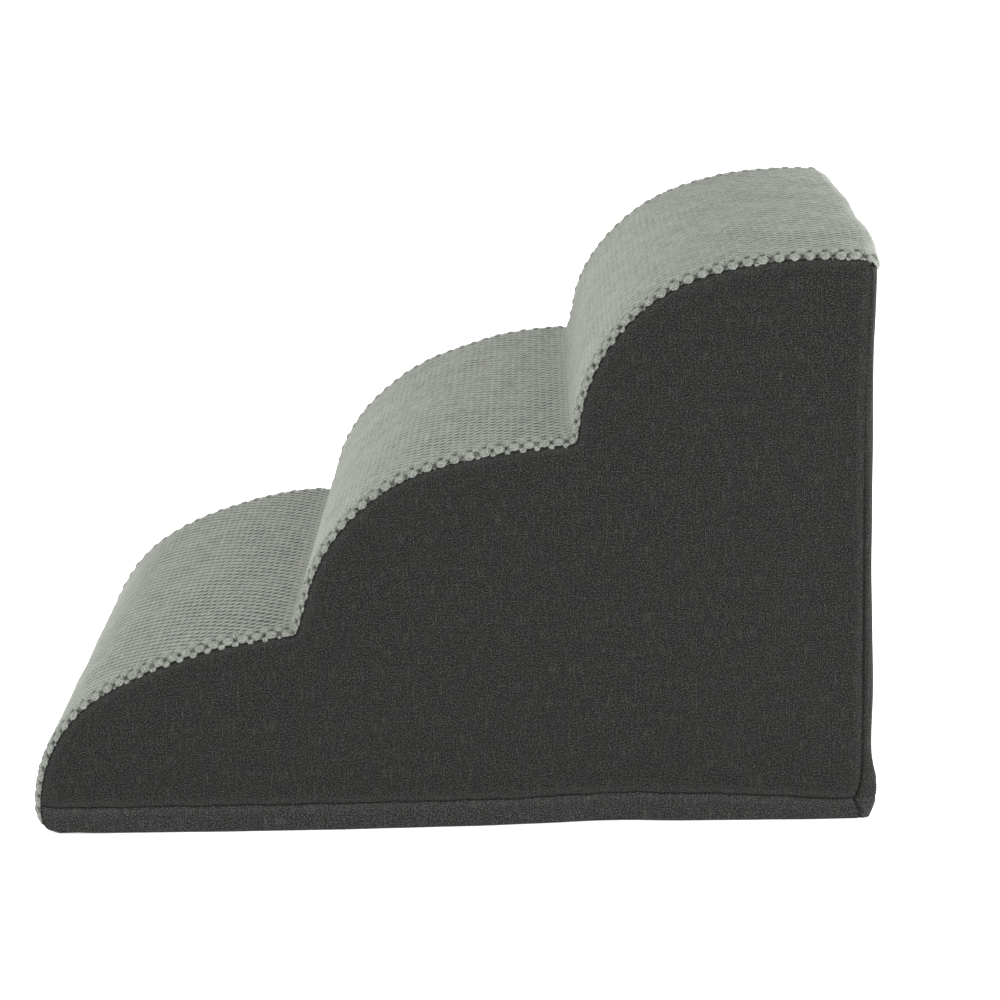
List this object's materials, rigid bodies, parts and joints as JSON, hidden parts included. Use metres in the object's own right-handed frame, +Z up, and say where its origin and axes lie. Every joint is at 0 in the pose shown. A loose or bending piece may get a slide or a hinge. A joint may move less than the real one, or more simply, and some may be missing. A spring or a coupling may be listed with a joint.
{
  "type": "dog ramp",
  "caption": "Low foam pet ramp of rounded steps in a removable zipped cover, with plush treads and woven sides.",
  "frame": {"origin": "on the floor, at the middle of the footprint", "axes": "+X from the low front to the tall back, +Y across the width, +Z up"},
  "size_m": [0.6092, 0.4, 0.415],
  "materials": {
    "plush": "matte",
    "side_cloth": "matte",
    "band_cloth": "matte",
    "foam": "matte",
    "bottom_cloth": "matte",
    "thread": "matte",
    "zip_nylon": "satin",
    "zip_metal": "satin"
  },
  "bodies": {
    "cover": {"foam_core": "foam", "top_panel": "plush", "side_panel_left": "side_cloth", "side_panel_right": "side_cloth", "back_panel": "side_cloth", "base_band_left": "band_cloth", "base_band_right": "band_cloth", "base_band_back": "band_cloth", "bottom_panel": "bottom_cloth", "thread_top_left": "thread", "thread_top_right": "thread", "thread_top_back": "thread", "thread_corner_left": "thread", "thread_corner_right": "thread", "thread_band_left": "thread", "thread_band_right": "thread", "thread_band_back": "thread", "thread_band_corners": "thread", "thread_base": "thread", "zip_tape_upper": "zip_nylon", "zip_tape_lower": "zip_nylon", "zip_coil_upper": "zip_nylon", "zip_coil_lower": "zip_nylon", "zip_top_stops": "zip_metal", "zip_bottom_stop": "zip_metal", "zip_stitch_upper": "thread", "zip_stitch_lower": "thread"},
    "zip_slider": {"zip_slider": "zip_metal"},
    "zip_pull": {"zip_pull": "zip_metal"}
  },
  "joints": [
    {"name": "zip_slider_travel", "type": "slide", "parent": "cover", "child": "zip_slider", "axis": [0, -1, 0], "range_m": [0, 0.334]},
    {"name": "zip_pull_swing", "type": "hinge", "parent": "zip_slider", "child": "zip_pull", "pos_m": [0.3039, 0.168, 0.022], "axis": [0, 0, 1], "range_deg": [0, 180]}
  ]
}
